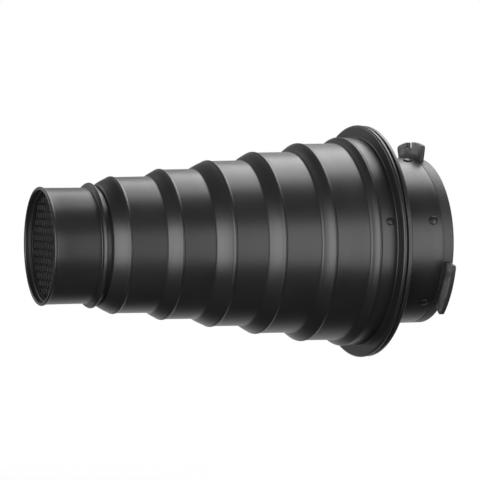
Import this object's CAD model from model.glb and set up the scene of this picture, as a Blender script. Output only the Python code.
"""A conical snoot for a studio flash: a stepped spun cone with a bayonet neck, a nose tube and a
honeycomb grid held in the nose by a wire ring.

The optical axis lies along y, with +z up. The open mouth is at y = -0.236 and the rear face of the
bayonet at y = 0. Pieces are drawn in millimetres: a station is the distance behind the mouth, a
radius is measured from the axis, and an angle runs from +x up towards +z.
"""

import math

import bmesh
import bpy
from mathutils import Matrix, Vector
from mathutils.geometry import delaunay_2d_cdt


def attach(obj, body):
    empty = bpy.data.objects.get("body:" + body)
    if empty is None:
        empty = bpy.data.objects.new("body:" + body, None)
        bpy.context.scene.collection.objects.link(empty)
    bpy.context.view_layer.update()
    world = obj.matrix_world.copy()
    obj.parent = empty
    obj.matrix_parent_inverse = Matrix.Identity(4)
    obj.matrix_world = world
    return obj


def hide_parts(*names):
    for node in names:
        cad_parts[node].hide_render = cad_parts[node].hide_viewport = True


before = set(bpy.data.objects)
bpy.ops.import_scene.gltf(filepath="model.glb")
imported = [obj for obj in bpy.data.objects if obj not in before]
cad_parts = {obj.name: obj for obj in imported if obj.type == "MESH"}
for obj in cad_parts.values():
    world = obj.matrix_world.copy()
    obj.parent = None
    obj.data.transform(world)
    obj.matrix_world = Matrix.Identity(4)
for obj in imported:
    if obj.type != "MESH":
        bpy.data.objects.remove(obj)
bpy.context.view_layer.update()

LEN = 236.0                     # whole length along the axis
SEGMENTS = 288   # round the axis
CLEARANCE = 0.02                # between stacked parts

# Nose tube
NOSE_R = 33.0
NOSE_BORE = 31.8
NOSE_END = 50.0
LIP_AT = 29.2
LIP_R = 35.8
NOSE_SLOTS = 6

# Honeycomb grid and its wire ring
GRID_AT = 4.4
GRID_DEPTH = 12.0
BAND_R = 31.75
CORE_R = 31.13
CELL_PITCH = 5.0
RING_WIRE = 0.8                 # radius of the wire
RING_GAP = 38.0                 # degrees between the two legs

# Cone: (radius, station where the step starts, length of the step)
STEPS = [
    (38.9, 41.5, 22.7), (43.1, 70.7, 20.6), (48.0, 100.2, 21.0),
    (52.9, 128.3, 23.1), (58.0, 156.9, 22.4),
]
LAST_STEP_R = 61.7
LAST_STEP_AT = 182.8
LINE_END = 260.0                # the last step's line runs on past the cone's rear
BRIM_R = 69.2
BRIM_AT = 194.6
WALL = 1.2
DRAFT = 0.35                    # radius gained along each step
SKEW = 0.4                      # inner line lies this far behind the outer one
SHOULDER = 0.3                  # bulge of the slopes between steps
BEAD_R = 1.3
BEAD_HEIGHT = 0.5
LAST_BEAD_HEIGHT = 0.35
BEAD_SETBACK = 1.0              # from the start of a step to the middle of its bead

# Rear: mount plate, neck flange and tube, bayonet ring
PLATE_AT = 197.9
PLATE_THICK = 2.6
PLATE_END = PLATE_AT + PLATE_THICK
PLATE_R = 68.9
COLLAR_AT = 186.9
COLLAR_R = 60.47
COLLAR_BORE = 57.87
FLANGE_END = PLATE_AT - CLEARANCE
FLANGE_AT = FLANGE_END - 2.0
FLANGE_R = 57.27
NECK_R = 49.6
NECK_BORE = 48.1
RING_AT = 217.0
RING_BORE = 45.4
LUG_R = 59.2
LUG_AT = 230.6
LUG_THICK = 2.8
LUG_ARC = 34.0                  # degrees

# Fasteners
CONE_SCREWS = 3
CONE_SCREW_AT = 190.0
CONE_SCREW_ANGLE = 12
NECK_BOLTS = 6                  # the bayonet rivets share this count and angle
NECK_BOLT_ANGLE = 15
NECK_BOLT_R = (NECK_R + FLANGE_R) / 2
WASHER_THICK = 0.7
WASHER_AT = FLANGE_AT - CLEARANCE - WASHER_THICK
NUT_HEIGHT = 2.4
NUT_AT = WASHER_AT - CLEARANCE - NUT_HEIGHT
RIVET_AT = 223.4

# ----------------------------------------------------------------- profiles


def arc(station, radius, size, start, stop, steps):
    """Arc in the profile plane; angle 0 points backwards (+station), 90 outwards."""
    angles = [math.radians(start + (stop - start) * k / steps) for k in range(steps + 1)]
    return [(station + size * math.cos(a), radius + size * math.sin(a)) for a in angles]


def straight(radius, stations):
    """Points at one radius."""
    return [(station, radius) for station in stations]


def shifted(table, station, radius):
    """A table of offsets moved to a station and a radius."""
    return [(station + ds, radius + dr) for ds, dr in table]


def rounded(corners, steps=5):
    """Closed polygon of (station, radius, corner radius) -> points with round corners."""
    out = []
    for i, (x, y, size) in enumerate(corners):
        before, after = corners[i - 1], corners[(i + 1) % len(corners)]
        a = Vector((before[0] - x, before[1] - y))
        b = Vector((after[0] - x, after[1] - y))
        length_a, length_b = a.length, b.length
        a.normalize()
        b.normalize()
        half = math.acos(max(-1, min(1, a.dot(b)))) / 2
        trim = min(size / math.tan(half), 0.48 * length_a, 0.48 * length_b)
        r = trim * math.tan(half)
        corner = Vector((x, y))
        centre = corner + (a + b).normalized() * (r / math.sin(half))
        start = corner + a * trim - centre
        end = corner + b * trim - centre
        sweep = math.atan2(start.x * end.y - start.y * end.x, start.dot(end))
        for k in range(steps + 1):
            w = sweep * k / steps
            out.append((centre.x + start.x * math.cos(w) - start.y * math.sin(w),
                        centre.y + start.x * math.sin(w) + start.y * math.cos(w)))
    return out


def subdivided(profile, spacing):
    """Adds points along long straight sides so that shading stays even."""
    out = []
    for i, p in enumerate(profile):
        q = profile[(i + 1) % len(profile)]
        out.append(p)
        length = math.hypot(q[0] - p[0], q[1] - p[1])
        if length > spacing:
            extra = int(length / spacing)
            for k in range(1, extra + 1):
                out.append((p[0] + (q[0] - p[0]) * k / (extra + 1),
                            p[1] + (q[1] - p[1]) * k / (extra + 1)))
    return out


def interpolate(table, x):
    if x <= table[0][0]:
        return table[0][1]
    for (x0, y0), (x1, y1) in zip(table, table[1:]):
        if x <= x1:
            return y0 + (y1 - y0) * (x - x0) / (x1 - x0)
    return table[-1][1]


def softened(table, x, half_window):
    """The broken line through the table, averaged over a short window to round its corners."""
    count = 12
    total = weight = 0.0
    for k in range(-count, count + 1):
        u = k / count
        w = 0.5 + 0.5 * math.cos(math.pi * u)
        total += w * interpolate(table, x + u * half_window)
        weight += w
    return total / weight


def smooth_max(a, b, blend):
    h = max(blend - abs(a - b), 0.0) / blend
    return max(a, b) + h * h * blend * 0.25


# ------------------------------------------------------------------- shapes
# A shape is a pair (vertices, faces). Small parts are drawn about their own z axis.


def stack_rings(rings):
    """Closed skin through rings of equal length, capped at both ends."""
    verts = [p for ring in rings for p in ring]
    m = len(rings[0])
    last = (len(rings) - 1) * m
    faces = []
    for k in range(len(rings) - 1):
        for i in range(m):
            j = (i + 1) % m
            faces.append((k * m + i, k * m + j, (k + 1) * m + j, (k + 1) * m + i))
    faces.append(tuple(range(m))[::-1])
    faces.append(tuple(last + i for i in range(m)))
    return verts, faces


def prism(outline, z0, z1):
    return stack_rings([[(x, y, z) for x, y in outline] for z in (z0, z1)])


def circle(radius, z, count):
    angles = [2 * math.pi * k / count for k in range(count)]
    return [(radius * math.cos(a), radius * math.sin(a), z) for a in angles]


def turned(profile, count=48):
    """Solid of revolution from an open profile of (z, radius)."""
    return stack_rings([circle(r, z, count) for z, r in profile])


def turned_ring(profile, count=48):
    """Ring from a closed profile of (z, radius)."""
    m = len(profile)
    verts, faces = [], []
    for k in range(count):
        a = 2 * math.pi * k / count
        verts += [(r * math.cos(a), r * math.sin(a), z) for z, r in profile]
        after = (k + 1) % count
        for i in range(m):
            j = (i + 1) % m
            faces.append((k * m + i, k * m + j, after * m + j, after * m + i))
    return verts, faces


def threaded(z0, z1, radius, pitch, depth, count):
    """Shank with a helical thread and tapered ends."""
    steps = max(8, int((z1 - z0) / pitch * 8))
    taper = pitch * 0.8
    rings = []
    for i in range(steps + 1):
        z = z0 + (z1 - z0) * i / steps
        fade = max(0.0, min(1.0, (z - z0) / taper, (z1 - z) / taper))
        ring = []
        for k in range(count):
            a = 2 * math.pi * k / count
            phase = (z / pitch - k / count) % 1.0
            height = max(0.12, min(0.88, abs(2 * phase - 1)))
            r = radius - depth + depth * height * fade
            ring.append((r * math.cos(a), r * math.sin(a), z))
        rings.append(ring)
    return stack_rings(rings)


def hexagon(radius, turn):
    angles = [math.radians(60 * k + turn) for k in range(6)]
    return [(radius * math.cos(a), radius * math.sin(a)) for a in angles]


def spun(shape, degrees):
    """Turns a shape about its own z axis."""
    c, s = math.cos(math.radians(degrees)), math.sin(math.radians(degrees))
    return [(x * c - y * s, x * s + y * c, z) for x, y, z in shape[0]], shape[1]


def place_axial(shape, station, angle, radius):
    """Local z along +y, local x away from the axis."""
    c, s = math.cos(math.radians(angle)), math.sin(math.radians(angle))
    verts = [((radius + x) * c - y * s, station - LEN + z, (radius + x) * s + y * c)
             for x, y, z in shape[0]]
    return verts, shape[1]


def place_radial(shape, station, angle):
    """Local z away from the axis, local y along +y."""
    c, s = math.cos(math.radians(angle)), math.sin(math.radians(angle))
    verts = [(z * c - x * s, station - LEN + y, z * s + x * c) for x, y, z in shape[0]]
    return verts, shape[1]


def join(shapes):
    verts, faces = [], []
    for part_verts, part_faces in shapes:
        base = len(verts)
        verts += part_verts
        faces += [tuple(i + base for i in face) for face in part_faces]
    return verts, faces


def radial_set(shape, station, first, count):
    """Copies evenly spaced round the axis, pointing outwards."""
    return join([place_radial(shape, station, first + 360 / count * k) for k in range(count)])


def bolt_circle(shapes, station):
    """One shape for each neck bolt, pointing backwards."""
    return join([place_axial(shape, station, NECK_BOLT_ANGLE + 360 / NECK_BOLTS * k, NECK_BOLT_R)
                 for k, shape in enumerate(shapes)])


def revolve(profile):
    """Closed profile of (station, radius) -> ring about the optical axis."""
    return place_axial(turned_ring(profile, SEGMENTS), 0.0, 0.0, 0.0)


# ------------------------------------------------------------------ objects


def object_from(name, shape):
    mesh = bpy.data.meshes.new(name)
    mesh.from_pydata([(x / 1000, y / 1000, z / 1000) for x, y, z in shape[0]], [], shape[1])
    ob = bpy.data.objects.new(name, mesh)
    bpy.context.scene.collection.objects.link(ob)
    return ob


def tool_object(shape):
    """Temporary solid for boolean work, with its normals outwards."""
    ob = object_from("tool", shape)
    bm = bmesh.new()
    bm.from_mesh(ob.data)
    bmesh.ops.recalc_face_normals(bm, faces=bm.faces)
    bm.to_mesh(ob.data)
    bm.free()
    return ob


def remove_object(ob):
    mesh = ob.data
    bpy.data.objects.remove(ob)
    bpy.data.meshes.remove(mesh)


def boolean(ob, shape, operation="DIFFERENCE"):
    tool = tool_object(shape)
    modifier = ob.modifiers.new("cut", "BOOLEAN")
    modifier.operation = operation
    modifier.solver = "EXACT"
    modifier.object = tool
    bpy.context.view_layer.update()
    graph = bpy.context.evaluated_depsgraph_get()
    mesh = bpy.data.meshes.new_from_object(ob.evaluated_get(graph))
    ob.modifiers.clear()
    old = ob.data
    ob.data = mesh
    bpy.data.meshes.remove(old)
    remove_object(tool)


def take_shape(ob):
    """The object's shape in millimetres; the object is removed."""
    verts = [tuple(c * 1000 for c in vert.co) for vert in ob.data.vertices]
    faces = [tuple(face.vertices) for face in ob.data.polygons]
    remove_object(ob)
    return verts, faces


def finish_mesh(ob, sharp):
    """Cleans the mesh and shades it smooth up to the sharp angle in degrees."""
    mesh = ob.data
    bm = bmesh.new()
    bm.from_mesh(mesh)
    bmesh.ops.remove_doubles(bm, verts=bm.verts, dist=2e-6)
    bmesh.ops.dissolve_degenerate(bm, edges=bm.edges, dist=1e-7)
    loose = [v for v in bm.verts if not v.link_faces]
    if loose:
        bmesh.ops.delete(bm, geom=loose, context="VERTS")
    bmesh.ops.recalc_face_normals(bm, faces=bm.faces)
    bm.to_mesh(mesh)
    bm.free()
    mesh.polygons.foreach_set("use_smooth", [True] * len(mesh.polygons))
    mesh.set_sharp_from_angle(angle=math.radians(sharp))
    mesh.update()


def build(name, shape, material, body, replaces, sharp=35.0, steps=()):
    """Makes a piece, applies its boolean steps (operation, shape) and hands it to the frame."""
    ob = object_from(name, shape)
    finish_mesh(ob, sharp)
    ob.data.materials.append(material)
    if steps:
        for operation, tool in steps:
            boolean(ob, tool, operation)
        finish_mesh(ob, sharp)
        ob.data.materials.clear()
        ob.data.materials.append(material)
    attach(ob, body)
    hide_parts(replaces)


def cuts(shape):
    """Boolean steps that cut a shape out; a quick build leaves them out."""
    return [("DIFFERENCE", shape)]


# ---------------------------------------------------------------- materials


class Shader:
    """Short helpers for filling a node tree."""

    def __init__(self, tree):
        self.tree = tree
        tree.nodes.clear()

    def node(self, kind, **settings):
        node = self.tree.nodes.new(kind)
        for key, value in settings.items():
            setattr(node, key, value)
        return node

    def feed(self, socket, value):
        """Links a socket, or sets a plain value."""
        if isinstance(value, bpy.types.NodeSocket):
            self.tree.links.new(value, socket)
        else:
            socket.default_value = value

    def math(self, operation, *values):
        node = self.node("ShaderNodeMath", operation=operation)
        for socket, value in zip(node.inputs, values):
            self.feed(socket, value)
        return node.outputs[0]

    def times(self, a, b):
        return self.math("MULTIPLY", a, b)

    def vary(self, value, noise, span):
        """Adds noise, centred on zero and scaled to the span, to a value."""
        return self.math("ADD", value, self.times(self.math("SUBTRACT", noise, 0.5), span))

    def vector_math(self, operation, *values):
        node = self.node("ShaderNodeVectorMath", operation=operation)
        for socket, value in zip(node.inputs, values):
            self.feed(socket, value)
        return node.outputs["Value"]

    def range(self, value, start, stop, low=0.0, high=1.0, ease="SMOOTHSTEP"):
        node = self.node("ShaderNodeMapRange", interpolation_type=ease)
        self.feed(node.inputs["Value"], value)
        self.feed(node.inputs["From Min"], start)
        self.feed(node.inputs["From Max"], stop)
        self.feed(node.inputs["To Min"], low)
        self.feed(node.inputs["To Max"], high)
        return node.outputs["Result"]

    def mix(self, factor, a, b):
        node = self.node("ShaderNodeMix", data_type="RGBA")
        self.feed(node.inputs[0], factor)
        self.feed(node.inputs[6], a)
        self.feed(node.inputs[7], b)
        return node.outputs[2]

    def layer(self, base, mask, strength, color):
        """Lays a colour over the base where the mask is high."""
        return self.mix(self.times(mask, strength), base, color)

    def mix_shaders(self, factor, a, b):
        node = self.node("ShaderNodeMixShader")
        for socket, value in zip(node.inputs, (factor, a, b)):
            self.feed(socket, value)
        return node.outputs[0]

    def coords(self, kind="Object"):
        return self.node("ShaderNodeTexCoord").outputs[kind]

    def separate(self, vector):
        node = self.node("ShaderNodeSeparateXYZ")
        self.feed(node.inputs[0], vector)
        return node.outputs

    def normal(self):
        return self.node("ShaderNodeNewGeometry").outputs["Normal"]

    def noise(self, vector, scale, detail=2.0, rough=0.5):
        node = self.node("ShaderNodeTexNoise")
        self.feed(node.inputs["Vector"], vector)
        node.inputs["Scale"].default_value = scale
        node.inputs["Detail"].default_value = detail
        node.inputs["Roughness"].default_value = rough
        return node.outputs[0]

    def voronoi(self, vector, scale):
        node = self.node("ShaderNodeTexVoronoi")
        self.feed(node.inputs["Vector"], vector)
        node.inputs["Scale"].default_value = scale
        return node.outputs["Distance"]

    def ring_coords(self, coords):
        """(radius, y, a little of the angle) for lines round the axis; the radius; x, y, z."""
        angle_stretch = 0.0006
        position = self.separate(coords)
        x, y, z = position
        radius = self.math("SQRT", self.math("MULTIPLY_ADD", z, z, self.times(x, x)))
        angle = self.math("ARCTAN2", z, x)
        rings = self.node("ShaderNodeCombineXYZ")
        self.feed(rings.inputs[0], radius)
        self.feed(rings.inputs[1], y)
        self.feed(rings.inputs[2], self.times(angle, angle_stretch))
        return rings.outputs[0], radius, position

    def bump(self, height, distance, strength, below=None):
        """Bump of a depth in metres, on top of another bump if one is given."""
        node = self.node("ShaderNodeBump")
        node.inputs["Strength"].default_value = strength
        node.inputs["Distance"].default_value = distance
        self.feed(node.inputs["Height"], height)
        if below is not None:
            self.feed(node.inputs["Normal"], below)
        return node.outputs[0]

    def edge(self, radius):
        """0 on flats, towards 1 on edges."""
        bevel = self.node("ShaderNodeBevel", samples=4)
        bevel.inputs["Radius"].default_value = radius
        alike = self.vector_math("DOT_PRODUCT", bevel.outputs[0], self.normal())
        return self.math("SUBTRACT", 1.0, alike)


class Surface(Shader):
    """A material with one principled shader."""

    SOCKETS = {"color": "Base Color", "rough": "Roughness", "metal": "Metallic",
               "normal": "Normal", "ior": "IOR", "sheen": "Sheen Weight"}

    def __init__(self, name):
        self.material = bpy.data.materials.new(name)
        self.material.use_nodes = True
        super().__init__(self.material.node_tree)
        output = self.node("ShaderNodeOutputMaterial")
        self.principled = self.node("ShaderNodeBsdfPrincipled")
        self.feed(output.inputs["Surface"], self.principled.outputs[0])

    def finish(self, **values):
        for key, value in values.items():
            self.feed(self.principled.inputs[self.SOCKETS[key]], value)
        return self.material


def grey(value, tint=(1.0, 1.0, 1.0)):
    return (value * tint[0], value * tint[1], value * tint[2], 1.0)


def black_coat():
    """Satin black powder coat over spun aluminium."""
    sh = Surface("black_coat")
    coords = sh.coords()
    rings, radius, position = sh.ring_coords(coords)
    grain = sh.noise(coords, scale=2600.0, rough=0.6)
    peel = sh.noise(coords, scale=420.0)
    spin = sh.noise(rings, scale=900.0, detail=3.0, rough=0.65)
    spin_wide = sh.noise(rings, scale=160.0)
    cloud = sh.noise(coords, scale=22.0, detail=3.0, rough=0.55)
    specks = sh.noise(coords, scale=5200.0, detail=1.0)
    dust = sh.range(specks, start=0.70, stop=0.80)
    rub = sh.noise(coords, scale=190.0, detail=3.0, rough=0.7)
    edge = sh.edge(radius=0.00035)
    worn = sh.times(sh.range(edge, start=0.04, stop=0.22), sh.range(rub, start=0.50, stop=0.72))
    base = sh.mix(sh.range(cloud, start=0.3, stop=0.7),
                  grey(0.0095), grey(0.0125, tint=(1.0, 0.995, 0.985)))
    base = sh.layer(base, dust, strength=0.25, color=grey(0.06))
    base = sh.layer(base, worn, strength=0.35, color=grey(0.10))
    rough = sh.range(cloud, start=0.25, stop=0.75, low=0.335, high=0.385)
    rough = sh.vary(rough, spin_wide, span=0.07)
    rough = sh.vary(rough, grain, span=0.10)
    worn_polish = 0.06
    rough = sh.math("SUBTRACT", rough, sh.times(worn, worn_polish))
    # the coat is thin and matt inside the tubes, where the normal points at the axis
    normal = sh.separate(sh.normal())
    across = sh.times(position[0], normal[0])
    outward = sh.math("DIVIDE", sh.math("MULTIPLY_ADD", position[2], normal[2], across), radius)
    inside = sh.times(sh.range(outward, start=-0.35, stop=-0.75),
                      sh.range(position[1], start=-0.2347, stop=-0.2325))
    inside_matt = 0.28
    base = sh.layer(base, inside, strength=0.85, color=grey(0.004))
    rough = sh.math("ADD", rough, sh.times(inside, inside_matt))
    bump = sh.bump(peel, distance=0.000030, strength=0.45)
    bump = sh.bump(spin, distance=0.000012, strength=0.50, below=bump)
    bump = sh.bump(grain, distance=0.000010, strength=0.55, below=bump)
    return sh.finish(color=base, rough=rough, normal=bump, ior=1.5)


def grid_foil():
    """Black honeycomb foil with a worn front edge."""
    sh = Surface("grid_foil")
    coords = sh.coords()
    position = sh.separate(coords)
    patches = sh.noise(coords, scale=380.0, detail=3.0, rough=0.6)
    fine = sh.noise(coords, scale=3000.0, rough=0.6)
    # the thin coat rubs off the foil's edges at the front face
    front = sh.range(position[1], start=-0.23105, stop=-0.23085, low=1.0, high=0.0)
    wear = sh.times(front, sh.range(patches, start=0.35, stop=0.60, low=0.45, high=1.0))
    base = sh.mix(sh.range(patches, start=0.35, stop=0.7), grey(0.003), grey(0.006))
    base = sh.layer(base, wear, strength=0.7, color=grey(0.07))
    rough = sh.range(fine, start=0.2, stop=0.8, low=0.42, high=0.58)
    worn_metal = 0.5
    return sh.finish(color=base, rough=rough, metal=sh.times(wear, worn_metal),
                     normal=sh.bump(fine, distance=0.000012, strength=0.6), ior=1.5)


def grid_frame():
    """Dark brushed band round the grid."""
    sh = Surface("grid_frame")
    coords = sh.coords()
    rings, _, _ = sh.ring_coords(coords)
    brush = sh.noise(rings, scale=2200.0, detail=3.0, rough=0.7)
    cloud = sh.noise(coords, scale=60.0)
    edge = sh.range(sh.edge(radius=0.0002), start=0.05, stop=0.25)
    base = sh.mix(cloud, grey(0.014), grey(0.024))
    base = sh.layer(base, edge, strength=0.4, color=grey(0.12))
    rough = sh.range(brush, start=0.2, stop=0.8, low=0.30, high=0.46)
    return sh.finish(color=base, rough=rough, metal=0.35,
                     normal=sh.bump(brush, distance=0.000010, strength=0.5), ior=1.5)


def steel(name, dark, light, smooth, rough, drawn_round, tint):
    """Bright steel with fine lines, which run round the axis if drawn_round is set."""
    sh = Surface(name)
    coords = sh.coords()
    line_coords = sh.ring_coords(coords)[0] if drawn_round else coords
    lines = sh.noise(line_coords, scale=3200.0, detail=3.0, rough=0.7)
    spots = sh.noise(coords, scale=700.0, detail=3.0, rough=0.65)
    cloud = sh.noise(coords, scale=150.0)
    dirt = sh.range(spots, start=0.60, stop=0.74)
    base = sh.mix(cloud, grey(dark, tint), grey(light, tint))
    base = sh.layer(base, dirt, strength=0.55, color=grey(dark * 0.35))
    return sh.finish(color=base, metal=1.0,
                     rough=sh.range(lines, start=0.2, stop=0.8, low=smooth, high=rough),
                     normal=sh.bump(lines, distance=0.000008, strength=0.5))


def black_oxide():
    """Blackened screws and rivets, lighter on their edges."""
    sh = Surface("black_oxide")
    coords = sh.coords()
    mottle = sh.noise(coords, scale=900.0, detail=3.0, rough=0.6)
    edge = sh.range(sh.edge(radius=0.00015), start=0.05, stop=0.3)
    base = sh.mix(mottle, grey(0.018), grey(0.035, tint=(1.0, 0.98, 0.96)))
    base = sh.layer(base, edge, strength=0.55, color=grey(0.20))
    rough = sh.range(mottle, start=0.3, stop=0.7, low=0.26, high=0.40)
    return sh.finish(color=base, rough=rough, metal=0.55,
                     normal=sh.bump(mottle, distance=0.000008, strength=0.5))


def seal_foam():
    """Black open-cell foam."""
    sh = Surface("seal_foam")
    coords = sh.coords()
    small = sh.voronoi(coords, scale=2200.0)
    large = sh.voronoi(coords, scale=900.0)
    small_share, large_share = 0.6, 0.4
    height = sh.math("ADD", sh.times(small, small_share), sh.times(large, large_share))
    base = sh.mix(small, grey(0.006), grey(0.016))
    return sh.finish(color=base, rough=0.95, sheen=0.15,
                     normal=sh.bump(height, distance=0.00012, strength=0.9))


def cast_ring():
    """Black coated die casting, rubbed bright where the lugs turn in the bayonet."""
    sh = Surface("cast_ring")
    coords = sh.coords()
    rings, radius, _ = sh.ring_coords(coords)
    grain = sh.noise(coords, scale=1500.0, detail=3.0, rough=0.6)
    cloud = sh.noise(coords, scale=45.0, detail=3.0)
    arcs = sh.noise(rings, scale=2600.0, detail=3.0, rough=0.7)
    spots = sh.noise(coords, scale=330.0, detail=3.0, rough=0.65)
    edge = sh.range(sh.edge(radius=0.0003), start=0.05, stop=0.25)
    # rubbed band: the flat lug faces outside the neck
    beyond_neck = sh.range(radius, start=0.0512, stop=0.0535)
    normal = sh.separate(sh.normal())
    facing = sh.range(sh.math("ABSOLUTE", normal[1]), start=0.8, stop=0.97)
    scratches = sh.range(arcs, start=0.30, stop=0.62, low=0.45, high=1.0)
    patches = sh.noise(coords, scale=130.0)
    coat_left = sh.range(patches, start=0.40, stop=0.62, low=1.0, high=0.25)
    tip = sh.range(radius, start=0.0585, stop=0.0592, low=1.0, high=0.35)
    rubbed = sh.times(sh.times(sh.times(beyond_neck, facing), scratches),
                      sh.times(coat_left, tip))
    chips = sh.times(edge, sh.range(spots, start=0.42, stop=0.62))
    rub_strength, chip_strength = 0.7, 0.7
    worn = sh.math("MAXIMUM", sh.times(rubbed, rub_strength), sh.times(chips, chip_strength))
    base = sh.mix(cloud, grey(0.016), grey(0.026))
    base = sh.mix(worn, base, grey(0.34, tint=(1.0, 0.99, 0.97)))
    worn_rough, worn_metal = -0.12, 0.9
    rough = sh.math("ADD", sh.range(grain, start=0.3, stop=0.7, low=0.40, high=0.52),
                    sh.times(worn, worn_rough))
    bump = sh.bump(grain, distance=0.000022, strength=0.5)
    bump = sh.bump(arcs, distance=0.000010, strength=0.35, below=bump)
    return sh.finish(color=base, rough=rough, metal=sh.times(worn, worn_metal), normal=bump,
                     ior=1.5)


def floor_material():
    """Pale paper that fades into the white surround, so that no edge shows."""
    material = bpy.data.materials.new("pale_floor")
    material.use_nodes = True
    sh = Shader(material.node_tree)
    output = sh.node("ShaderNodeOutputMaterial")
    coords = sh.coords()
    fade = sh.range(sh.vector_math("LENGTH", coords), start=0.28, stop=0.85)
    fibres = sh.noise(coords, scale=900.0)
    tone = sh.range(fibres, start=0.0, stop=1.0, low=0.86, high=0.90, ease="LINEAR")
    color = sh.node("ShaderNodeCombineColor")
    for channel in range(3):
        sh.feed(color.inputs[channel], tone)
    paper = sh.node("ShaderNodeBsdfDiffuse")
    sh.feed(paper.inputs["Color"], color.outputs[0])
    sh.feed(paper.inputs["Normal"], sh.bump(fibres, distance=0.00005, strength=0.3))
    clear = sh.node("ShaderNodeBsdfTransparent")
    mixed = sh.mix_shaders(fade, paper.outputs[0], clear.outputs[0])
    sh.feed(output.inputs["Surface"], mixed)
    return material


COAT = black_coat()
FOIL = grid_foil()
FRAME = grid_frame()
WIRE = steel("spring_wire", dark=0.30, light=0.42, smooth=0.22, rough=0.36, drawn_round=True,
             tint=(1.0, 1.0, 1.02))
ZINC = steel("zinc_steel", dark=0.46, light=0.60, smooth=0.20, rough=0.34, drawn_round=False,
             tint=(1.0, 1.0, 1.03))
OXIDE = black_oxide()
FOAM = seal_foam()
CAST = cast_ring()

# ---------------------------------------------------------------- nose tube

# (station, radius) offsets from the tube's rear outer edge
NOSE_REAR_EDGE = [(-0.4, -0.03), (-0.1, -0.2), (0, -0.45), (0, -0.85), (-0.15, -1.1)]
# (station, radius offset from the bore): rib inside the tube, in front of the grid
NOSE_RIB = [
    (4.55, -0.03), (4.35, -0.2), (4.28, -0.5), (4.2, -0.72), (4.0, -0.8), (3.6, -0.8),
    (3.4, -0.72), (3.3, -0.5), (3.2, -0.2), (3.0, -0.03), (2.7, 0.0), (1.6, 0.02),
]


def nose_profile():
    # rolled bead: starts inside the bore, rolls over the front and comes back outside
    bead_r, bead_mid = 0.95, NOSE_R - 0.25
    points = arc(bead_r, bead_mid, bead_r, start=268, stop=90, steps=22)
    points += arc(bead_r, bead_mid, bead_r, start=90, stop=22, steps=8)[1:]
    points += [(2.15, NOSE_R + 0.04), (2.6, NOSE_R)]
    points += straight(NOSE_R, (8, 14, 20, 25))
    # lip round the outside: small fillet, bevelled front edge, rolled crown, small fillet
    fillet, crown = 0.7, 0.95
    points += arc(LIP_AT - 1.95, NOSE_R + fillet, fillet, start=270, stop=360, steps=5)
    points += arc(LIP_AT - 1.05, LIP_R - 1.0, 0.2, start=180, stop=123, steps=4)
    points += [(LIP_AT - 0.72, LIP_R - 0.485)]
    points += arc(LIP_AT + 0.25, LIP_R - crown, crown, start=123, stop=0, steps=12)
    points += arc(LIP_AT + 1.9, NOSE_R + fillet, fillet, start=180, stop=270, steps=5)
    points += straight(NOSE_R, (32.0, 34.5, 37.0, 40.0, 43.0, 46.0, 48.6))
    points += shifted(NOSE_REAR_EDGE, NOSE_END, NOSE_R)
    points += [(NOSE_END - 0.4, NOSE_BORE)]
    points += straight(NOSE_BORE, (47, 43, 39, 35, 31, 27, 23, 19, 15, 11, 8, 5.0))
    return points + shifted(NOSE_RIB, 0.0, NOSE_BORE)


def keyhole():
    """A round relief and a parallel slot out through the tube's rear edge, at local y = 0."""
    length, overrun, half_width, relief_r = 10, 2, 0.6, 1.1
    start = math.degrees(math.asin(half_width / relief_r))
    count = 20
    outline = []
    for k in range(count + 1):
        a = math.radians(start + (360 - 2 * start) * k / count)
        outline.append((relief_r * math.sin(a), relief_r * math.cos(a) - length))
    outline += [(-half_width, overrun), (half_width, overrun)]
    return prism(outline, 29.8, 34.8)


def build_nose_tube():
    slots = radial_set(keyhole(), NOSE_END, 30, NOSE_SLOTS)
    build("nose_tube_shell", revolve(nose_profile()), COAT, "nose", "nose_tube",
          steps=cuts(slots))


# --------------------------------------------------------------------- grid


def random_unit(*keys):
    """A repeatable number from 0 to 1 for a key of small integers."""
    h = 2166136261
    for key in keys:
        h = ((h ^ (int(key) & 0xFFFFFFFF)) * 16777619) & 0xFFFFFFFF
        h ^= h >> 15
        h = (h * 2246822519) & 0xFFFFFFFF
        h ^= h >> 13
    return (h & 0xFFFFFF) / float(0x1000000)


def clip_round(outline, radius, count=144):
    """A convex polygon cut to a circle."""
    limit = radius * math.cos(math.pi / count)
    for k in range(count):
        a = 2 * math.pi * (k + 0.5) / count
        nx, ny = math.cos(a), math.sin(a)
        kept = []
        for i, p in enumerate(outline):
            q = outline[(i + 1) % len(outline)]
            dp = p[0] * nx + p[1] * ny - limit
            dq = q[0] * nx + q[1] * ny - limit
            if dp <= 0:
                kept.append(p)
            if (dp < 0) != (dq < 0) and abs(dp - dq) > 1e-12:
                t = dp / (dp - dq)
                kept.append((p[0] + (q[0] - p[0]) * t, p[1] + (q[1] - p[1]) * t))
        outline = kept
        if len(outline) < 3:
            return []
    return outline


def area(outline):
    return 0.5 * sum(outline[i - 1][0] * outline[i][1] - outline[i][0] * outline[i - 1][1]
                     for i in range(len(outline)))


def inset(outline, widths):
    """Moves each side of a convex polygon inwards by its own width."""
    lines = []
    for i, width in enumerate(widths):
        p, q = Vector(outline[i]), Vector(outline[(i + 1) % len(outline)])
        d = (q - p).normalized()
        lines.append((p + Vector((-d.y, d.x)) * width, d))
    out = []
    for i in range(len(lines)):
        (p, d), (q, e) = lines[i - 1], lines[i]
        t = ((q.x - p.x) * e.y - (q.y - p.y) * e.x) / (d.x * e.y - d.y * e.x)
        out.append((p.x + d.x * t, p.y + d.y * t))
    return out


def without_doubles(outline):
    shortest = 0.03

    def apart(p, q):
        return math.hypot(p[0] - q[0], p[1] - q[1]) > shortest

    out = []
    for p in outline:
        if not out or apart(p, out[-1]):
            out.append(p)
    if len(out) > 2 and not apart(out[0], out[-1]):
        out.pop()
    return out


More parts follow.
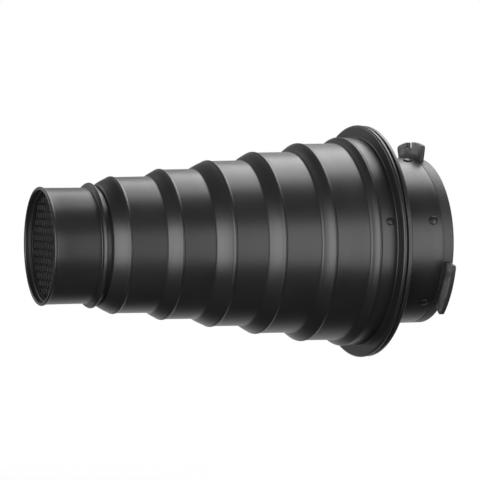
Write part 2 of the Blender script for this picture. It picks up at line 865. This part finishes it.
def honeycomb():
    """Open cells of the foil: single walls on four sides, doubled where two ribbons are glued."""
    shake = 0.22                # range of each corner's random shift
    rim = 0.4                   # solid foil left round the outside
    smallest = 0.5              # area of the smallest cell that is kept
    single, double = 0.11, 0.19    # half the wall thickness
    # side k runs from corner k to k+1; sides 2 and 5 stand upright and are doubled
    walls = [single, single, double, single, single, double]
    corner_r = CELL_PITCH / math.sqrt(3)
    reach = int(CORE_R / CELL_PITCH) + 2

    def shaken(x, y):
        # a corner is shared by three cells, so its shift depends on its place only
        kx, ky = round(x * 50), round(y * 50)
        return (x + shake * (random_unit(kx, ky, 1) - 0.5),
                y + shake * (random_unit(kx, ky, 2) - 0.5))

    angles = [math.radians(30 + 60 * k) for k in range(6)]
    cells = []
    for j in range(-reach - 2, reach + 3):
        for i in range(-2 * reach, 2 * reach + 1):
            x = CELL_PITCH * (i + j / 2)
            y = CELL_PITCH * j * math.sqrt(3) / 2
            if math.hypot(x, y) > CORE_R + corner_r:
                continue
            outline = [shaken(x + corner_r * math.cos(a), y + corner_r * math.sin(a))
                       for a in angles]
            cell = without_doubles(clip_round(inset(outline, walls), CORE_R - rim))
            if len(cell) >= 3 and area(cell) > smallest:
                cells.append(cell)
    return cells


def grid_core():
    """A disc with the cells cut through it."""
    count = 192
    end_inset = 0.5
    points = [Vector((x, y)) for x, y, _ in circle(CORE_R, 0.0, count)]
    loops = [list(range(count))]
    for cell in honeycomb():
        base = len(points)
        points += [Vector(p) for p in cell]
        loops.append(list(range(base, base + len(cell))))
    plan, _, triangles, _, _, sources = delaunay_2d_cdt(points, [], loops, 0, 1e-6, True)
    m = len(plan)
    stations = (GRID_AT + end_inset, GRID_AT + GRID_DEPTH - end_inset)
    verts = [(p.x, station - LEN, p.y) for station in stations for p in plan]
    faces = []
    edges = {}
    for triangle, source in zip(triangles, sources):
        # only the disc covers the foil; a triangle inside a cell has two sources
        if source != [0]:
            continue
        faces.append(tuple(triangle))
        faces.append(tuple(m + i for i in reversed(triangle)))
        for a, b in zip(triangle, list(triangle[1:]) + [triangle[0]]):
            edges[(a, b)] = True
    for a, b in edges:
        if (b, a) not in edges:
            faces.append((b, a, m + a, m + b))
    return verts, faces


def build_grid():
    build("grid_honeycomb", grid_core(), FOIL, "grid", "grid_core", sharp=25)
    end = GRID_AT + GRID_DEPTH
    hem_r = BAND_R - 1.5        # inner edge of the turned-in hems
    strip_r = BAND_R - 0.6
    hem = 0.48
    band = rounded([
        (GRID_AT, hem_r, 0.1), (GRID_AT, BAND_R, 0.3), (end, BAND_R, 0.3), (end, hem_r, 0.1),
        (end - hem, hem_r, 0.1), (end - hem, strip_r, 0.05),
        (GRID_AT + hem, strip_r, 0.05), (GRID_AT + hem, hem_r, 0.1),
    ], steps=3)
    build("grid_band_strip", revolve(band), FRAME, "grid", "grid_band")


def round_wire(path, radius, count=20):
    """Round wire along a smooth path that lies across the y axis, with domed ends."""
    across = Vector((0, 1, 0))

    def section(centre, tangent, size):
        side = tangent.cross(across).normalized()
        return [tuple(Vector(centre) + across * (size * math.cos(2 * math.pi * k / count))
                      + side * (size * math.sin(2 * math.pi * k / count)))
                for k in range(count)]

    tangents = []
    for i in range(len(path)):
        before, after = path[max(0, i - 1)], path[min(len(path) - 1, i + 1)]
        tangents.append((after - before).normalized())
    dome = []
    for k in range(1, 5):
        w = math.radians(90 * k / 5)
        dome.append((math.sin(w) * radius, math.cos(w) * radius))
    rings = [section(path[0] - tangents[0] * offset, tangents[0], size)
             for offset, size in reversed(dome)]
    rings += [section(p, t, radius) for p, t in zip(path, tangents)]
    rings += [section(path[-1] + tangents[-1] * offset, tangents[-1], size)
              for offset, size in dome]
    return stack_rings(rings)


def wire_path():
    """Open ring with its gap at the top and two straight legs that point at the axis."""
    ring_r = NOSE_BORE - 0.05 - RING_WIRE
    station = GRID_AT + GRID_DEPTH + 0.1 + RING_WIRE
    bend_r = 1.9
    leg_end = ring_r - 6.0
    # the leg on the +x side first: straight leg, then bend
    leg_angle = math.radians(90 - RING_GAP / 2)
    c, s = math.cos(leg_angle), math.sin(leg_angle)
    radial, tangent = Vector((c, 0, s)), Vector((s, 0, -c))
    reach = math.sqrt(ring_r * ring_r - bend_r * bend_r) - 0.02
    leg = [radial * (leg_end + (reach - bend_r - leg_end) * k / 6) for k in range(6)]
    centre = radial * (reach - bend_r) + tangent * bend_r
    for k in range(11):
        w = math.radians(90 * k / 10)
        leg.append(centre - tangent * (bend_r * math.cos(w)) + radial * (bend_r * math.sin(w)))
    # the long arc runs from the bend down under the axis to the mirrored angle
    bend_end = centre + radial * bend_r
    start = math.atan2(bend_end.z, bend_end.x)
    stop = math.pi - start
    sweep = -(2 * math.pi - (stop - start))
    count = 150
    long_arc = []
    for k in range(1, count):
        a = start + sweep * k / count
        blend = min(1.0, k / 4.0, (count - k) / 4.0)
        r = bend_end.length + (ring_r - bend_end.length) * blend
        long_arc.append(Vector((r * math.cos(a), 0, r * math.sin(a))))
    other_leg = [Vector((-p.x, 0, p.z)) for p in reversed(leg)]
    return [Vector((p.x, station - LEN, p.z)) for p in leg + long_arc + other_leg]


def build_retaining_ring():
    build("retaining_ring_wire", round_wire(wire_path(), RING_WIRE), WIRE, "retainer",
          "grid_retaining_ring", sharp=50)


# ---------------------------------------------------------- sleeve and cone


def build_sleeve():
    """Stepped sleeve between the nose tube and the cone's front end."""
    profile = rounded([
        (33.75, 33.05, 0.15), (33.75, 33.75, 0.2), (45.1, 33.75, 0.6), (45.1, 36.75, 0.9),
        (45.15, 37.68, 0.7), (52.5, 37.68, 0.3), (52.5, 36.5, 0.3), (46.55, 36.5, 0.6),
        (46.5, 33.05, 0.5),
    ])
    build("nose_sleeve_guide", revolve(profile), COAT, "snoot", "nose_sleeve")


def bowed(a, b):
    """A slope from a to b with a rounded shoulder at its rear end, without its first point."""
    return [(a[0] + (b[0] - a[0]) * u, a[1] + (b[1] - a[1]) * (u + SHOULDER * u * (1 - u)))
            for u in [k / 6 for k in range(1, 7)]]


def cone_line(start, skew, drop):
    """Broken line of slopes and steps, moved back by skew and inwards by drop."""
    line = [start]
    for radius, station, length in STEPS:
        line += bowed(line[-1], (station + skew, radius - drop))
        line.append((station + length + skew, radius + DRAFT - drop))
    line += bowed(line[-1], (LAST_STEP_AT + skew, LAST_STEP_R - drop))
    line.append((LINE_END, LAST_STEP_R - drop))
    return line


OUTER_LINE = cone_line((33.85, 34.7), skew=0.0, drop=0.0)
INNER_LINE = cone_line((33.9, 33.78), skew=SKEW, drop=WALL)
# (station, radius) of the middle of the bead at the front of each step
BEADS = [(station + BEAD_SETBACK, radius + BEAD_HEIGHT - BEAD_R) for radius, station, _ in STEPS]
BEADS.append((LAST_STEP_AT + BEAD_SETBACK, LAST_STEP_R + LAST_BEAD_HEIGHT - BEAD_R))

# Closed outline's plain ends, (station, radius)
CONE_FRONT_OUTER = [(33.6, 34.26), (33.67, 34.48), (33.82, 34.64)]
CONE_FRONT_INNER = [(34.3, 33.94), (33.9, 33.8), (33.7, 33.82), (33.6, 33.95)]
CONE_BEHIND_HEM = [
    (197.0, 67.05), (196.6, 66.72), (196.25, 66.6), (196.0, 66.45), (195.9, 66.2),
    (195.9, 64.8), (195.9, 63.3), (195.9, 61.9), (195.9, 60.8), (195.82, 60.58), (195.6, 60.5),
]


def cone_radius(station):
    radius = softened(OUTER_LINE, station, half_window=1.2)
    for bead_at, bead_mid in BEADS:
        d = station - bead_at
        if abs(d) < BEAD_R * 0.999:
            bead = bead_mid + math.sqrt(BEAD_R * BEAD_R - d * d)
            radius = smooth_max(radius, bead, blend=0.22)
    return radius


def spaced_stations(marks, start, stop, reach, fine):
    """Stations from start to stop, fine within reach of a mark and coarse elsewhere."""
    coarse = 2.4
    out = [start]
    station = start
    while station < stop - 1e-6:
        near = min(abs(station - mark) for mark in marks)
        station += fine if near < reach else min(coarse, max(fine, near - reach + fine))
        out.append(min(station, stop))
    return out


def cone_profile():
    fine = 0.2
    marks = [p[0] for p in OUTER_LINE] + [bead[0] + 1.0 for bead in BEADS]
    points = list(CONE_FRONT_OUTER)
    points += [(s, cone_radius(s)) for s in spaced_stations(marks, 34.2, 193.6, 2.4, fine)]
    # fillet, flat brim and rolled hem
    fillet, hem = 0.7, 1.4
    points += arc(193.9, LAST_STEP_R + fillet, fillet, start=270, stop=360, steps=7)
    points += [(BRIM_AT, r) for r in (63.0, 64.1, 65.2, 66.5)]
    points += arc(BRIM_AT + hem, BRIM_R - hem, hem, start=180, stop=-25, steps=26)
    points += CONE_BEHIND_HEM
    marks = [p[0] for p in INNER_LINE]
    points += [(s, softened(INNER_LINE, s, half_window=1.3))
               for s in reversed(spaced_stations(marks, 34.8, 194.8, 2.2, fine * 1.5))]
    return points + CONE_FRONT_INNER


def cone_screw_holes(inner, outer, radius):
    hole = turned([(inner, radius), (outer, radius)], 24)
    return radial_set(hole, CONE_SCREW_AT, CONE_SCREW_ANGLE, CONE_SCREWS)


def build_cone():
    build("cone_spun_shell", revolve(cone_profile()), COAT, "snoot", "cone_shell",
          sharp=40, steps=cuts(cone_screw_holes(58.9, 63.5, radius=1.4)))


def button_screw():
    """Domed head with a hexagon socket, and a threaded shank towards the axis."""
    seat = LAST_STEP_R + CLEARANCE
    height, rim = 1.10, 0.26
    dome_top = math.sin(math.radians(80))
    profile = shifted([(0.0, 0.4), (0.0, 2.12), (0.06, 2.24), (0.16, 2.30), (rim, 2.29)],
                      seat, 0.0)
    for k in range(1, 9):
        a = math.radians(12 + 68 * k / 8)
        profile.append((seat + rim + (height - rim) * math.sin(a) / dome_top,
                        2.33 * math.cos(a) + 0.25 * (k / 8)))
    profile.append((seat + height, 0.5))
    head = tool_object(turned(profile, 56))
    socket = hexagon(1.04, 10)
    boolean(head, stack_rings([[(x * 0.98, y * 0.98, seat + 0.42) for x, y in socket],
                               [(x, y, seat + 2.0) for x, y in socket]]))
    # chamfer at the mouth of the socket
    boolean(head, turned([(seat + 0.98, 0.86), (seat + 1.5, 1.38)], 40))
    shank = threaded(57.47, seat + 0.05, radius=1.25, pitch=0.5, depth=0.16, count=28)
    return join([take_shape(head), shank])


def build_cone_screws():
    screws = radial_set(button_screw(), CONE_SCREW_AT, CONE_SCREW_ANGLE, CONE_SCREWS)
    build("cone_button_screws", screws, OXIDE, "snoot", "cone_screws", sharp=32)


# ---------------------------------------------------- seal, plate and neck


def build_seal():
    profile = rounded([(195.95, 62.0, 0.35), (195.95, 66.4, 0.35),
                       (FLANGE_END, 66.4, 0.6), (FLANGE_END, 62.0, 0.6)])
    build("light_seal_foam", revolve(profile), FOAM, "snoot", "light_seal")


def build_mount_plate():
    """Flat ring with a collar that reaches forwards into the cone."""
    bore = NECK_R + 0.05
    profile = rounded([
        (PLATE_AT, COLLAR_R, 0.6), (PLATE_AT, PLATE_R, 0.8), (PLATE_END, PLATE_R, 0.8),
        (PLATE_END, bore, 0.25), (PLATE_AT, bore, 0.25), (PLATE_AT, COLLAR_BORE, 0.8),
        (COLLAR_AT, COLLAR_BORE, 0.35), (COLLAR_AT, COLLAR_R, 0.5),
    ], steps=6)
    bolt_hole = turned([(-8.0, 1.6), (8.0, 1.6)], 24)
    holes = join([bolt_circle([bolt_hole] * NECK_BOLTS, (PLATE_AT + PLATE_END) / 2),
                  cone_screw_holes(55.3, 61.7, radius=1.3)])
    build("mount_plate_disc", revolve(subdivided(profile, 2.5)), COAT, "snoot",
          "mount_plate", steps=cuts(holes))


def build_neck():
    """Flange in front of the plate, with a tube running back to the bayonet."""
    end = 228.96
    profile = rounded([
        (FLANGE_AT, NECK_BORE, 0.3), (FLANGE_AT, FLANGE_R, 0.5), (FLANGE_END, FLANGE_R, 0.5),
        (FLANGE_END, NECK_R, 0.12), (end, NECK_R, 0.15), (end, NECK_BORE, 0.1),
    ])
    bolt_hole = turned([(-4.0, 1.6), (3.0, 1.6)], 24)
    rivet_hole = turned([(46.0, 1.52), (51.5, 1.52)], 24)
    holes = []
    for k in range(NECK_BOLTS):
        angle = NECK_BOLT_ANGLE + 360 / NECK_BOLTS * k
        holes.append(place_axial(bolt_hole, (FLANGE_AT + FLANGE_END) / 2, angle, NECK_BOLT_R))
        holes.append(place_radial(rivet_hole, RIVET_AT, angle))
    build("neck_tube_shell", revolve(subdivided(profile, 3.0)), COAT, "snoot",
          "neck_tube", steps=cuts(join(holes)))


def cross_wedge(top):
    """One tapered bar of a cross recess; (z, half length, half width) at its two ends."""
    rings = []
    for z, length, width in ((top - 1.0, 0.55, 0.20), (top + 0.6, 1.62, 0.34)):
        rings.append([(length, width, z), (-length, width, z),
                      (-length, -width, z), (length, -width, z)])
    return stack_rings(rings)


def pan_screw(turn):
    """Head on the plate's rear face, thread forwards through plate and flange to the nut."""
    seat = PLATE_THICK + CLEARANCE
    height, side, corner = 1.9, 0.85, 1.05
    profile = shifted([(0.0, 0.4), (0.0, 2.45), (0.05, 2.55), (0.14, 2.6), (side, 2.6)],
                      seat, 0.0)
    for k in range(1, 10):
        a = math.radians(90 * k / 9)
        profile.append((seat + side + corner * math.sin(a), 1.55 + corner * math.cos(a)))
    profile.append((seat + height, 0.5))
    head = tool_object(turned(profile, 64))
    for angle in (0, 90):
        boolean(head, spun(cross_wedge(seat + height), angle + turn))
    shank = threaded(-5.6, seat + 0.05, radius=1.5, pitch=0.5, depth=0.18, count=32)
    return join([take_shape(head), shank])


def hex_nut():
    top = NUT_HEIGHT
    nut = tool_object(prism(hexagon(3.1, 30), 0.0, top))
    # corners trimmed by a double cone, then the bore and its two chamfers
    cones = [(-0.2, 2.55), (0.42, 3.2), (top - 0.42, 3.2), (top + 0.2, 2.55)]
    boolean(nut, turned(cones, 64), "INTERSECT")
    boolean(nut, turned([(-1.0, 1.56), (top + 1.0, 1.56)], 40))
    boolean(nut, turned([(-0.6, 2.5), (0.35, 1.5)], 40))
    boolean(nut, turned([(top - 0.35, 1.5), (top + 0.6, 2.5)], 40))
    return take_shape(nut)


def build_neck_bolts():
    screws = [pan_screw(turn=20 + 47 * k) for k in range(NECK_BOLTS)]
    build("neck_pan_screws", bolt_circle(screws, PLATE_AT), ZINC, "snoot",
          "neck_screws", sharp=32)
    washer = turned_ring(rounded([(0.0, 1.6, 0.08), (0.0, 2.9, 0.16), (WASHER_THICK, 2.9, 0.16),
                                  (WASHER_THICK, 1.6, 0.08)], steps=3))
    build("neck_flat_washers", bolt_circle([washer] * NECK_BOLTS, WASHER_AT), ZINC, "snoot",
          "neck_washers", sharp=32)
    nut = hex_nut()
    nuts = [spun(nut, 13 * k) for k in range(NECK_BOLTS)]
    build("neck_hex_nuts", bolt_circle(nuts, NUT_AT), ZINC, "snoot", "neck_nuts",
          sharp=28)


# ------------------------------------------------------------- bayonet ring


def mirrored(points):
    return [(x, -y) for x, y in reversed(points)]


def notch_side():
    """One side of the notch in a lug's tip: rounded mouth, wall, rounded floor corner."""
    half_width, depth, fillet = 3.1, 3.4, 0.7
    wall_top = math.sqrt(LUG_R ** 2 - half_width ** 2)
    points = [(math.sqrt(LUG_R ** 2 - (half_width + 0.6) ** 2), half_width + 0.6),
              (wall_top - 0.25, half_width + 0.12), (wall_top - 0.7, half_width)]
    for k in range(5):
        a = math.radians(90 * k / 4)
        points.append((LUG_R - depth + fillet - fillet * math.sin(a),
                       half_width - fillet + fillet * math.cos(a)))
    return points


def lug_outline(notched):
    """Clockwise outline of a lug: x away from the axis, y along the rim."""
    root_r = 47.9               # hidden in the ring body
    corner_r = 2.0
    half = math.radians(LUG_ARC / 2)
    centre_r = LUG_R - corner_r
    tip_half = half - math.asin(corner_r / centre_r)
    cx, cy = centre_r * math.cos(tip_half), centre_r * math.sin(tip_half)
    side = [(root_r * math.cos(half), root_r * math.sin(half))]
    for k in range(7):
        w = tip_half + (math.pi / 2) * (1 - k / 6)
        side.append((cx + corner_r * math.cos(w), cy + corner_r * math.sin(w)))
    tip = []
    for k in range(1, 10):
        a = tip_half - 2 * tip_half * k / 10
        tip.append((LUG_R * math.cos(a), LUG_R * math.sin(a)))
    if notched:
        mouth = 4.1             # tip points nearer the middle than this make way
        notch = notch_side()
        tip = ([p for p in tip if p[1] > mouth] + notch + mirrored(notch)
               + [p for p in tip if p[1] < -mouth])
    root = []
    for k in range(1, 6):
        a = -half + 2 * half * k / 6
        root.append((root_r * math.cos(a), root_r * math.sin(a)))
    return side + tip + mirrored(side) + root


def lug(notched):
    """A flat lug with bevelled edges."""
    outline = lug_outline(notched)
    bevel, half_way = 0.35, 0.35 * 0.3

    def drawn_in(amount, z):
        ring = []
        for i, corner in enumerate(outline):
            before, after = Vector(outline[i - 1]), Vector(outline[(i + 1) % len(outline)])
            p = Vector(corner)
            d = (after - before).normalized()
            ring.append((p.x + d.y * amount, p.y - d.x * amount, z))
        return ring

    return stack_rings([
        drawn_in(bevel, 0.0), drawn_in(half_way, half_way), drawn_in(0.0, bevel),
        drawn_in(0.0, LUG_THICK - bevel), drawn_in(half_way, LUG_THICK - half_way),
        drawn_in(bevel, LUG_THICK),
    ])


def build_bayonet_ring():
    """Ring inside the neck with three lugs behind it; the lug at the top is notched."""
    seat_r = 48.07              # fits inside the neck tube
    profile = rounded([
        (RING_AT, RING_BORE, 0.8), (RING_AT, seat_r, 0.5), (228.98, seat_r, 0.1),
        (229.0, NECK_R, 0.3), (LEN, NECK_R, 0.8), (LEN, RING_BORE, 1.0),
    ])
    steps = [("UNION", place_axial(lug(notched=k == 0), LUG_AT, 90 + 120 * k, 0.0))
             for k in range(3)]
    rivet_hole = turned([(44.0, 1.52), (49.0, 1.52)], 24)
    steps += cuts(radial_set(rivet_hole, RIVET_AT, NECK_BOLT_ANGLE, NECK_BOLTS))
    build("bayonet_lug_ring", revolve(subdivided(profile, 2.2)), CAST, "snoot",
          "bayonet_ring", steps=steps)


def rivet():
    """Shank and domed head; (distance from the axis, radius)."""
    head_at, head_r = 49.95, 2.58
    profile = [(45.5, 0.6), (45.5, 1.35), (45.62, 1.5), (49.62, 1.5), (49.63, 2.5),
               (49.7, 2.58), (49.8, 2.6), (head_at, head_r)]
    for k in range(1, 10):
        a = math.radians(90 * k / 9)
        profile.append((head_at + 0.80 * math.sin(a), head_r * math.cos(a) if k < 9 else 0.12))
    return turned(profile)


def build_rivets():
    rivets = radial_set(rivet(), RIVET_AT, NECK_BOLT_ANGLE, NECK_BOLTS)
    build("bayonet_dome_rivets", rivets, OXIDE, "snoot", "bayonet_rivets",
          sharp=40)


# -------------------------------------------------------------------- stage
# From here on lengths are in metres.

CENTRE = Vector((0.0, -LEN / 2000, 0.0))
FLOOR_Z = -0.235


def add_floor():
    """A disc of three rings, drawn in millimetres like the pieces."""
    count = 64
    verts = [(0.0, 0.0, 0.0)]
    for radius in (300.0, 600.0, 950.0):
        verts += circle(radius, 0.0, count)
    faces = []
    for k in range(count):
        after = (k + 1) % count
        faces.append((0, 1 + k, 1 + after))
        for ring in range(2):
            a, b = 1 + ring * count, 1 + (ring + 1) * count
            faces.append((a + k, b + k, b + after, a + after))
    floor = object_from("floor", (verts, faces))
    floor.location = (CENTRE.x, CENTRE.y, FLOOR_Z)
    floor.data.materials.append(floor_material())
    floor.visible_diffuse = False
    floor.visible_glossy = False
    floor.visible_transmission = False


def area_light(name, location, width, height, radiance):
    """Rectangular light, unseen by the camera. Radiance is in scene units."""
    light = bpy.data.lights.new(name, "AREA")
    light.shape = "RECTANGLE"
    light.size = width
    light.size_y = height
    light.energy = radiance * width * height * math.pi
    ob = bpy.data.objects.new(name, light)
    ob.location = location
    bpy.context.scene.collection.objects.link(ob)
    ob.visible_camera = False
    return ob


def softbox(name, azimuth, elevation, distance, width, height, radiance):
    """Light facing the centre. Azimuth 0 is +x, positive towards +y, in degrees."""
    a, e = math.radians(azimuth), math.radians(elevation)
    d = Vector((math.cos(a) * math.cos(e), math.sin(a) * math.cos(e), math.sin(e)))
    ob = area_light(name, CENTRE + d * distance, width, height, radiance)
    ob.rotation_mode = "QUATERNION"
    ob.rotation_quaternion = d.to_track_quat("Z", "Y")


def add_lights():
    softbox("key_front", azimuth=-41.0, elevation=0.0, distance=1.05,
            width=0.84, height=0.95, radiance=6.0)
    softbox("fill_side", azimuth=31.0, elevation=0.0, distance=1.10,
            width=0.56, height=0.90, radiance=4.2)
    softbox("fill_left", azimuth=225.0, elevation=32.0, distance=1.15,
            width=0.80, height=0.55, radiance=2.6)
    # flat panel overhead, facing straight down
    area_light("overhead", (-0.41, 0.525, 0.95), width=1.08, height=0.93, radiance=5.5)


def add_world():
    """White to the camera; to everything else a dark room with a glow on one side."""
    world = bpy.data.worlds.new("studio")
    bpy.context.scene.world = world
    world.use_nodes = True
    sh = Shader(world.node_tree)
    output = sh.node("ShaderNodeOutputWorld")
    rays = sh.node("ShaderNodeLightPath")
    white = sh.node("ShaderNodeBackground")
    studio = sh.node("ShaderNodeBackground")
    for background in (white, studio):
        background.inputs[0].default_value = (1, 1, 1, 1)
    white.inputs[1].default_value = 1.0
    coords = sh.coords("Generated")
    glow_direction = Vector((-0.913, 0.407, 0.0)).normalized()
    towards_glow = sh.vector_math("DOT_PRODUCT", coords, glow_direction)
    glow = sh.range(towards_glow, start=0.42, stop=0.94, low=0.03, high=0.92)
    # dark upright gap in the upper half, which closes quickly below the horizon
    gap_y, gap_closing = 0.06, -1.5
    axes = sh.separate(coords)
    aside = sh.math("ABSOLUTE", sh.math("SUBTRACT", axes[1], gap_y))
    below = sh.math("MINIMUM", axes[2], 0.0)
    from_gap = sh.math("MULTIPLY_ADD", below, gap_closing, aside)
    gap = sh.range(from_gap, start=-0.05, stop=0.34, ease="LINEAR")
    sh.feed(studio.inputs[1], sh.times(glow, gap))
    mixed = sh.mix_shaders(rays.outputs["Is Camera Ray"], studio.outputs[0], white.outputs[0])
    sh.feed(output.inputs["Surface"], mixed)


# Camera place, the direction it looks in and the direction nearest its top
EYE = Vector((1.1325114, -0.5432751, 0.0355110))
LOOK = Vector((-0.9383646, 0.3551921, -0.0279234))
UP = Vector((-0.0858800, 0.0380568, 0.9955784))
SENSOR = 36.0                   # mm
LENS = 155.34328                # mm


def add_camera():
    look = LOOK.normalized()
    right = look.cross(UP).normalized()
    true_up = right.cross(look).normalized()
    data = bpy.data.cameras.new("camera")
    data.sensor_width = SENSOR
    data.lens = LENS
    data.clip_start = 0.05
    data.clip_end = 20.0
    camera = bpy.data.objects.new("camera", data)
    matrix = Matrix((right, true_up, -look)).transposed().to_4x4()
    matrix.translation = EYE
    camera.matrix_world = matrix
    bpy.context.scene.collection.objects.link(camera)
    bpy.context.scene.camera = camera
    bpy.context.scene.view_settings.view_transform = "Standard"


build_nose_tube()
build_grid()
build_retaining_ring()
build_sleeve()
build_cone()
build_cone_screws()
build_seal()
build_mount_plate()
build_neck()
build_neck_bolts()
build_bayonet_ring()
build_rivets()
add_floor()
add_lights()
add_world()
add_camera()
